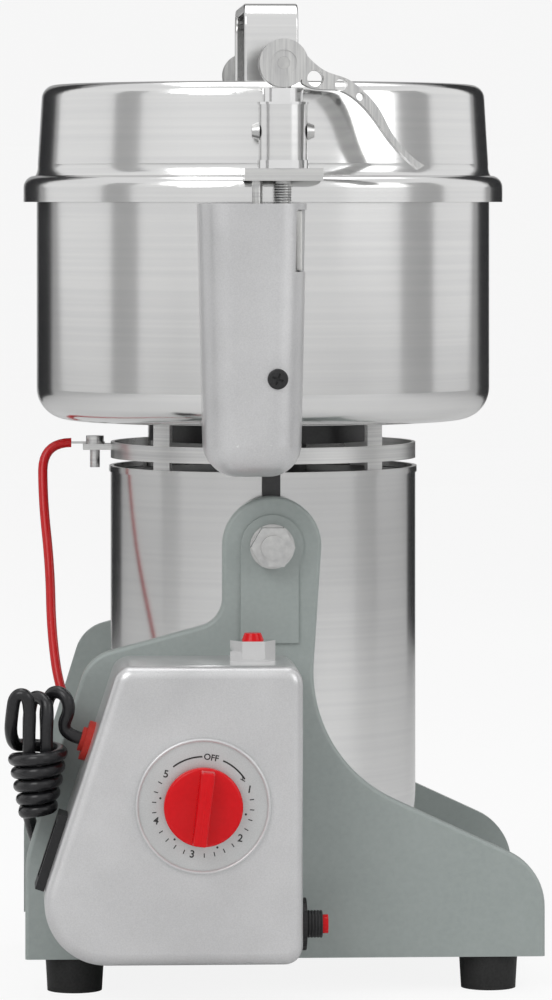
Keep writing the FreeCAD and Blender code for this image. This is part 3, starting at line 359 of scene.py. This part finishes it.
# White surroundings, which light the mill less than they show in the view and in the steel
skyLight = {"lighting": 0.42, "shown": 1.0}
world = bpy.data.worlds.new("studio")
bpy.context.scene.world = world
world.use_nodes = True
worldTree = world.node_tree
worldTree.nodes.clear()
rays = worldTree.nodes.new("ShaderNodeLightPath")
seen = mathNode(worldTree, "MAXIMUM")
seenAll = mathNode(worldTree, "MAXIMUM")
strength = worldTree.nodes.new("ShaderNodeMapRange")
strength.inputs["To Min"].default_value = skyLight["lighting"]
strength.inputs["To Max"].default_value = skyLight["shown"]
sky = worldTree.nodes.new("ShaderNodeBackground")
sky.inputs["Color"].default_value = (1, 1, 1, 1)
skyOut = worldTree.nodes.new("ShaderNodeOutputWorld")
worldTree.links.new(rays.outputs["Is Camera Ray"], seen.inputs[0])
worldTree.links.new(rays.outputs["Is Glossy Ray"], seen.inputs[1])
worldTree.links.new(seen.outputs[0], seenAll.inputs[0])
worldTree.links.new(rays.outputs["Is Transmission Ray"], seenAll.inputs[1])
worldTree.links.new(seenAll.outputs[0], strength.inputs["Value"])
worldTree.links.new(strength.outputs["Result"], sky.inputs["Strength"])
worldTree.links.new(sky.outputs["Background"], skyOut.inputs["Surface"])

# Lamps: place, width and power, all aimed at the middle of the mill
lampAim = Vector((0, 0, 0.25))
lamps = {"keyLamp": ((-1.3, -1.9, 1.9), 1.6, 26.0), "fillLamp": ((1.9, -1.5, 1.2), 1.4, 11.0),
         "topLamp": ((0.1, 0.3, 2.4), 1.8, 20.0)}
for lampName, (spot, width, power) in lamps.items():
    bpy.ops.object.light_add(type="AREA", location=spot)
    lamp = bpy.context.active_object
    lamp.name = lampName
    lamp.data.size = width
    lamp.data.energy = power
    lamp.rotation_euler = (lampAim - Vector(spot)).to_track_quat("-Z", "Y").to_euler()

# Pale floor that curves up into a wall behind
floorSize = {"wide": 14, "wall": 8, "curve": 2.5, "segments": 10, "glow": 0.88}
floorTone, floorTree, floorShader = newFinish("paleFloor")
floorShader.inputs["Base Color"].default_value = (0.86, 0.86, 0.86, 1)
floorShader.inputs["Roughness"].default_value = 0.7
floorRays = floorTree.nodes.new("ShaderNodeLightPath")
glow = floorTree.nodes.new("ShaderNodeEmission")
blendIn = floorTree.nodes.new("ShaderNodeMixShader")
share = mathNode(floorTree, "MULTIPLY", floorSize["glow"])
floorTree.links.new(floorRays.outputs["Is Camera Ray"], share.inputs[0])
floorTree.links.new(share.outputs[0], blendIn.inputs["Fac"])
floorTree.links.new(floorShader.outputs["BSDF"], blendIn.inputs[1])
floorTree.links.new(glow.outputs["Emission"], blendIn.inputs[2])
floorTree.links.new(blendIn.outputs["Shader"], floorTree.nodes["Material Output"].inputs["Surface"])
clearSelection()
bpy.ops.mesh.primitive_plane_add(size=1, location=(0, 0, 0))
floorPlane = bpy.context.active_object
floorPlane.name = "studioFloor"
floorPlane.scale = (floorSize["wide"], floorSize["wide"], 1)
bpy.ops.object.transform_apply(scale=True)
bpy.ops.object.mode_set(mode="EDIT")
sweep = bmesh.from_edit_mesh(floorPlane.data)
for edge in sweep.edges:
    edge.select = all(v.co.y > 0 for v in edge.verts)
bmesh.update_edit_mesh(floorPlane.data)
bpy.ops.mesh.select_mode(type="EDGE")
bpy.ops.mesh.extrude_region_move(TRANSFORM_OT_translate={"value": (0, 0, floorSize["wall"])})
bpy.ops.object.mode_set(mode="OBJECT")
floorPlane.data.materials.append(floorTone)
bevelled(floorPlane, floorSize["curve"], floorSize["segments"])

# Dark and grey cards outside the view, for the bands in the steel
cardHigh = 1.8
cardTone = {"darkCard": (0.02, 0.02, 0.022), "greyCard": (0.62, 0.62, 0.62)}
cards = [("backLeft", "darkCard", (-1.0, 1.7, 0.9), 1.0, 20),
         ("backRight", "darkCard", (1.0, 1.7, 0.9), 1.0, -20),
         ("sideLeft", "greyCard", (-2.3, -0.6, 0.9), 0.7, 95),
         ("sideRight", "greyCard", (2.3, -0.4, 0.9), 0.9, -95)]
cardFinish = {}
for toneName, colour in cardTone.items():
    cardFinish[toneName], toneTree, toneShader = newFinish(toneName)
    toneShader.inputs["Base Color"].default_value = (*colour, 1)
    toneShader.inputs["Roughness"].default_value = 0.9
for cardName, toneName, spot, width, turn in cards:
    clearSelection()
    bpy.ops.mesh.primitive_plane_add(size=1, location=spot, rotation=(quarter, 0, math.radians(turn)))
    card = bpy.context.active_object
    card.name = cardName
    card.scale = (width, cardHigh, 1)
    card.data.materials.append(cardFinish[toneName])
print("camera, light and floor set")


def cordCurve(name, route, diameter, finish):
    data = bpy.data.curves.new(name, "CURVE")
    data.dimensions = "3D"
    data.bevel_depth = diameter / 2000
    data.bevel_resolution = 5
    data.use_fill_caps = True
    data.resolution_u = 8
    line = data.splines.new("NURBS")
    line.points.add(len(route) - 1)
    for point, spot in zip(line.points, route):
        point.co = (*place(*spot), 1)
    line.order_u = 3
    line.use_endpoint_u = True
    line.use_smooth = True
    obj = bpy.data.objects.new(name, data)
    bpy.context.scene.collection.objects.link(obj)
    data.materials.append(finish)
    return obj


# Mains cord: two loops on top, wraps round their legs, then the tail to the plug
cordSize = {"diameter": 6.3, "turns": 5, "turnSteps": 12, "pitch": 6.45, "wrapTop": 124.0,
            "topRadius": 12.8, "endRadius": 6.5, "stretch": 6.0, "drawnIn": 0.75,
            "topX": -115.5, "endX": -115.3, "middleY": -112.0}
cordLoops = [(-94.48, -112, 127.55), (-100.3, -112, 129.4), (-103, -112.5, 134), (-99.5, -115.5, 142),
             (-102, -114.5, 149.5), (-108.5, -109, 150.5), (-111.5, -106.5, 142), (-111, -106, 132),
             (-111, -106, 121), (-111, -107, 113.5), (-111, -117, 113.5), (-111, -118, 121),
             (-111, -118.5, 132), (-110.5, -119, 139.5), (-111, -117, 146.5), (-117.5, -107.5, 148.5),
             (-119.5, -106, 139), (-119.5, -106, 130), (-119.5, -106, 121), (-119.5, -107, 113.5),
             (-119.5, -117, 113.5), (-119.5, -118, 121), (-119.5, -118, 131), (-119, -119, 141),
             (-120.5, -121, 150), (-126.4, -119.5, 149.5), (-127.8, -116, 140), (-128.6, -113, 130.5)]
cordTail = [(-121.2, -103.5, 92.6), (-120.5, -83.7, 91.3), (-116, -68, 72), (-105, -46, 49),
            (-98, -20, 32), (-98, 12, 29.5)]


def cordWraps():  # oval turns that get smaller on their way down
    wraps = []
    steps = cordSize["turns"] * cordSize["turnSteps"]
    for i in range(1, steps + 1):
        part = i / steps
        turns = i / cordSize["turnSteps"]
        angle = math.pi - turns * 2 * math.pi
        across = cordSize["topRadius"] + (cordSize["endRadius"] - cordSize["topRadius"]) * part
        along = across + cordSize["stretch"] * (1 - cordSize["drawnIn"] * part ** 2)
        middleX = cordSize["topX"] + (cordSize["endX"] - cordSize["topX"]) * part
        wraps.append((middleX + across * math.cos(angle), cordSize["middleY"] + along * math.sin(angle),
                      cordSize["wrapTop"] - cordSize["pitch"] * turns))
    return wraps


mainsCord = cordCurve("mainsCord", cordLoops + cordWraps() + cordTail, cordSize["diameter"],
                      finishes["blackCord"])
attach(mainsCord, "base")
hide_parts("mains_cord_hank", "mains_cord_tail")
print("mains cord laid")

# Red lead, a tube laid along a curve
leadThick = 4.8
leadRoute = [(-97.5, 0, 266.5), (-112, 0, 266.5), (-112, -9, 238), (-108.5, -26, 205), (-108, -46, 174),
             (-104, -62, 145), (-92, -64, 124), (-90, -82, 122)]
leadCurve = cordCurve("leadLine", leadRoute, leadThick, finishes["redSleeve"])
bare = leadCurve.data.copy()
bare.bevel_depth = 0
bareObject = bpy.data.objects.new("leadPath", bare)
bpy.context.scene.collection.objects.link(bareObject)
pathMesh = bpy.data.meshes.new_from_object(bareObject)
bpy.data.objects.remove(bareObject)
takeUp(leadCurve)
bpy.ops.object.convert(target="MESH")
redLead = bpy.context.active_object
redLead.name = "redLead"
takeUp(redLead)
bpy.ops.object.shade_smooth()
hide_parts("red_lead")
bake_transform(redLead)
print("red lead hung")

# Timer knob: a disc with a grip ridge, turned a little past the top
dialX, dialZ = -36.3, 99.0
knobSize = {"radius": 19.0, "back": -155.1, "front": -172.0, "base": 7.0, "ridgeWide": 8.0, "ridgeHigh": 36.6,
            "turn": 6.8, "pointer": (1.2, 2.6, 34), "pointerIn": 1.2}
knobTurn = (0, math.radians(knobSize["turn"]), 0)
knobDisc = drum("knobDisc", knobSize["radius"] / 1000, knobSize["base"] / 1000,
                place(dialX, knobSize["back"] - knobSize["base"] / 2, dialZ), (quarter, 0, 0), 96)
bevelled(knobDisc, 0.0016, 4)
knobRidge = block((knobSize["ridgeWide"], knobSize["back"] - knobSize["front"], knobSize["ridgeHigh"]),
                  place(dialX, (knobSize["front"] + knobSize["back"]) / 2, dialZ))
editFront(knobRidge)
bpy.ops.transform.resize(value=(0.80, 1, 0.97))
bpy.ops.object.mode_set(mode="OBJECT")
bevelled(knobRidge, 0.0012, 4)
knobRidge.rotation_euler = knobTurn
pointer = block(knobSize["pointer"], place(dialX, knobSize["front"] + knobSize["pointerIn"], dialZ))
bevelled(pointer, 0.0004, 2)
pointer.rotation_euler = knobTurn
timerKnob = joinPieces("timerKnob", [knobDisc, knobRidge, pointer])
settle(timerKnob, "knob", finishes["redGloss"])
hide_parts("timer_knob")
print("knob made")

# Print on the dial plate: numbers, ticks, dots and two arcs, one with an arrow's head
printSize = {"face": -154.82, "thick": 0.06, "ring": 23.6, "text": 5.0, "offText": 0.82, "bold": 0.11,
             "lean": 9.5, "tick": (0.5, 2.1), "tickStep": 12, "dotRing": 20.9, "dot": 0.55,
             "arcRing": 23.8, "arcStep": 3, "arcBar": (1.42, 0.8), "arrowEnd": 57, "arrowBar": (0.45, 2.6),
             "arrowOpen": 28, "arrowIn": 1.1}
words = [("OFF", 9.5), ("1", 70.5), ("2", 131), ("3", 193), ("4", 253), ("5", 311)]
ticksAfter = (70.5, 130.7, 191, 251)
dotAngles = (101, 161, 221, 281)
arcs = ((-37, -1), (24, 57))
prints = []


def dialSpot(angle, radius):  # angle clockwise from the top
    turn = math.radians(angle)
    return place(dialX + radius * math.sin(turn), printSize["face"], dialZ + radius * math.cos(turn))


def bar(angle, radius, size):
    clearSelection()
    bpy.ops.mesh.primitive_cube_add(size=1)
    mark = bpy.context.active_object
    wide, long = size
    shape = Matrix.Diagonal((wide / 1000, printSize["thick"] / 1000, long / 1000, 1))
    mark.data.transform(Matrix.Translation(dialSpot(angle, radius)) @
                        Matrix.Rotation(math.radians(angle), 4, "Y") @ shape)
    return mark


for word, angle in words:
    clearSelection()
    bpy.ops.object.text_add(location=(0, 0, 0))
    letters = bpy.context.active_object
    letters.data.body = word
    letters.data.size = printSize["text"] * (printSize["offText"] if word == "OFF" else 1) / 1000
    letters.data.align_x = "CENTER"
    letters.data.align_y = "CENTER"
    letters.data.extrude = printSize["thick"] / 2000
    letters.data.offset = printSize["bold"] / 1000
    bpy.ops.object.convert(target="MESH")
    letters = bpy.context.active_object
    letters.data.transform(Matrix.Translation(dialSpot(angle, printSize["ring"])) @
                           Matrix.Rotation(math.radians(printSize["lean"]), 4, "Y") @
                           Matrix.Rotation(quarter, 4, "X"))
    prints.append(letters)
for start in ticksAfter:
    for k in range(1, 5):
        prints.append(bar(start + printSize["tickStep"] * k, printSize["ring"], printSize["tick"]))
for angle in dotAngles:
    prints.append(drum("dot", printSize["dot"] / 1000, printSize["thick"] / 1000,
                       dialSpot(angle, printSize["dotRing"]), (quarter, 0, 0), 20))
for first, last in arcs:
    count = int((last - first) / printSize["arcStep"])
    for k in range(count):
        prints.append(bar(first + (k + 0.5) * (last - first) / count, printSize["arcRing"],
                          printSize["arcBar"]))
for side in (-1, 1):
    head = bar(printSize["arrowEnd"], printSize["arcRing"], printSize["arrowBar"])
    tip = dialSpot(printSize["arrowEnd"], printSize["arcRing"])
    head.data.transform(Matrix.Translation(tip) @
                        Matrix.Rotation(math.radians(90 + printSize["arrowOpen"] * side), 4, "Y") @
                        Matrix.Translation((0, 0, -printSize["arrowIn"] / 1000)) @ Matrix.Translation(-tip))
    prints.append(head)
dialPrint = joinPieces("dialPrint", prints)
settle(dialPrint, "base", finishes["printInk"])

# Raised rim round the dial plate
rimSize = {"radius": 31.8, "thick": 0.9, "face": -155.0}
clearSelection()
bpy.ops.mesh.primitive_torus_add(major_radius=rimSize["radius"] / 1000, minor_radius=rimSize["thick"] / 1000,
                                 major_segments=160, minor_segments=14,
                                 location=place(dialX, rimSize["face"], dialZ), rotation=(quarter, 0, 0))
dialRim = bpy.context.active_object
dialRim.name = "dialRim"
settle(dialRim, "base", finishes["silverPaint"])
print("dial printed")

# Cover screws: black domed heads with a cross recess, front and rear
screwSize = {"radius": 5.0, "height": 1.6, "z": 303.5, "face": 147.0, "cross": (1.1, 1.8, 5.6),
             "crossOut": 1.5, "crossTurns": (20, 110)}
for screwName, side in (("frontCoverScrew", -1), ("rearCoverScrew", 1)):
    middle = place(0, (screwSize["face"] + screwSize["height"] / 2) * side, screwSize["z"])
    head = drum(screwName, screwSize["radius"] / 1000, screwSize["height"] / 1000, middle,
                (quarter * -side, 0, 0), 48)
    bevelled(head, 0.0009, 4)
    for angle in screwSize["crossTurns"]:
        cutter = block(screwSize["cross"],
                       place(0, (screwSize["face"] + screwSize["crossOut"]) * side, screwSize["z"]),
                       (0, math.radians(angle), 0))
        recess = head.modifiers.new("crossRecess", "BOOLEAN")
        recess.operation = "DIFFERENCE"
        recess.solver = "EXACT"
        recess.object = cutter
        applyAll(head)
        bpy.data.objects.remove(cutter)
    settle(head, "mill", finishes["blackPlastic"])
    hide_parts("cover_screws")
print("cover screws made")

# White slide behind the window in each cover
slideSize = {"block": (3.3, 12, 29), "x": 10.65, "y": 131, "z": 370}
for slideName, side in (("frontWindowSlide", -1), ("rearWindowSlide", 1)):
    slide = block(slideSize["block"], place(-slideSize["x"] * side, slideSize["y"] * side, slideSize["z"]))
    slide.name = slideName
    bevelled(slide, 0.0008, 3)
    settle(slide, "mill", finishes["whitePlastic"])
print("window slides made")


def ridges(name, size, start, step, turn):  # a row of rings, as the thread of a rod or a bush
    clearSelection()
    bpy.ops.mesh.primitive_torus_add(major_radius=size["radius"] / 1000, minor_radius=size["ridge"] / 1000,
                                     major_segments=size["sides"], minor_segments=6, location=start,
                                     rotation=turn)
    obj = bpy.context.active_object
    obj.name = name
    bpy.ops.object.transform_apply(location=True, rotation=True)
    row = obj.modifiers.new("row", "ARRAY")
    row.count = size["count"]
    row.use_relative_offset = False
    row.use_constant_offset = True
    row.constant_offset_displace = Vector(step) * (size["pitch"] / 1000)
    applyAll(obj)
    return obj


# Threads on the clamp rods and on the breaker's bush
rodThread = {"radius": 3.82, "ridge": 0.42, "pitch": 1.25, "count": 58, "sides": 40,
             "x": 3.4, "y": 129, "low": 326}
bushThread = {"radius": 6.35, "ridge": 0.45, "pitch": 1.5, "count": 5, "sides": 48,
              "x": 16.2, "y": -123, "z": 38}
for threadName, side in (("frontRodThread", -1), ("rearRodThread", 1)):
    foot = place(-rodThread["x"] * side, rodThread["y"] * side, rodThread["low"])
    thread = ridges(threadName, rodThread, foot, (0, 0, 1), (0, 0, 0))
    settle(thread, "lid_and_clamps", finishes["zincSteel"])
thread = ridges("breakerBushThread", bushThread, place(bushThread["x"], bushThread["y"], bushThread["z"]),
                (1, 0, 0), (0, quarter, 0))
settle(thread, "base", finishes["blackPlastic"])

# Grip ribs round the breaker's nut
nutSize = {"ribs": 28, "radius": 12.35, "x": 13.5, "rib": (2.6, 0.7, 1.2)}
nutRibs = []
for k in range(nutSize["ribs"]):
    angle = k * 2 * math.pi / nutSize["ribs"]
    spot = place(nutSize["x"], bushThread["y"] + nutSize["radius"] * math.cos(angle),
                 bushThread["z"] + nutSize["radius"] * math.sin(angle))
    nutRibs.append(block(nutSize["rib"], spot, (angle, 0, 0)))
settle(joinPieces("breakerNutRibs", nutRibs), "base", finishes["blackPlastic"])
print("threads made")

# Mains plug: a rounded body with grip ribs and two flat pins
plugSize = {"x": -98, "y": 30, "z": 29.5, "body": (22, 36, 16), "grips": 4, "gripFirst": 19, "gripStep": 5,
            "grip": (21.6, 1.8, 15.6), "pinX": 6.2, "pinY": 56.2, "pin": (1.5, 17.2, 6)}
plugBody = block(plugSize["body"], place(plugSize["x"], plugSize["y"], plugSize["z"]))
editFront(plugBody)
bpy.ops.mesh.inset(thickness=0.0035)
bpy.ops.transform.resize(value=(0.85, 1, 0.85))
bpy.ops.object.mode_set(mode="OBJECT")
bevelled(plugBody, 0.0028, 4)
plugParts = [plugBody]
for k in range(plugSize["grips"]):
    gripRib = block(plugSize["grip"], place(plugSize["x"], plugSize["gripFirst"] + k * plugSize["gripStep"],
                                            plugSize["z"]))
    bevelled(gripRib, 0.0006, 2)
    plugParts.append(gripRib)
mainsPlug = joinPieces("mainsPlug", plugParts)
settle(mainsPlug, "base", finishes["blackCord"])
pins = []
for side in (-1, 1):
    pin = block(plugSize["pin"], place(plugSize["x"] + plugSize["pinX"] * side, plugSize["pinY"],
                                       plugSize["z"]))
    bevelled(pin, 0.0005, 2)
    pins.append(pin)
plugPins = joinPieces("plugPins", pins)
settle(plugPins, "base", finishes["zincSteel"])
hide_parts("mains_plug")
print("plug made")
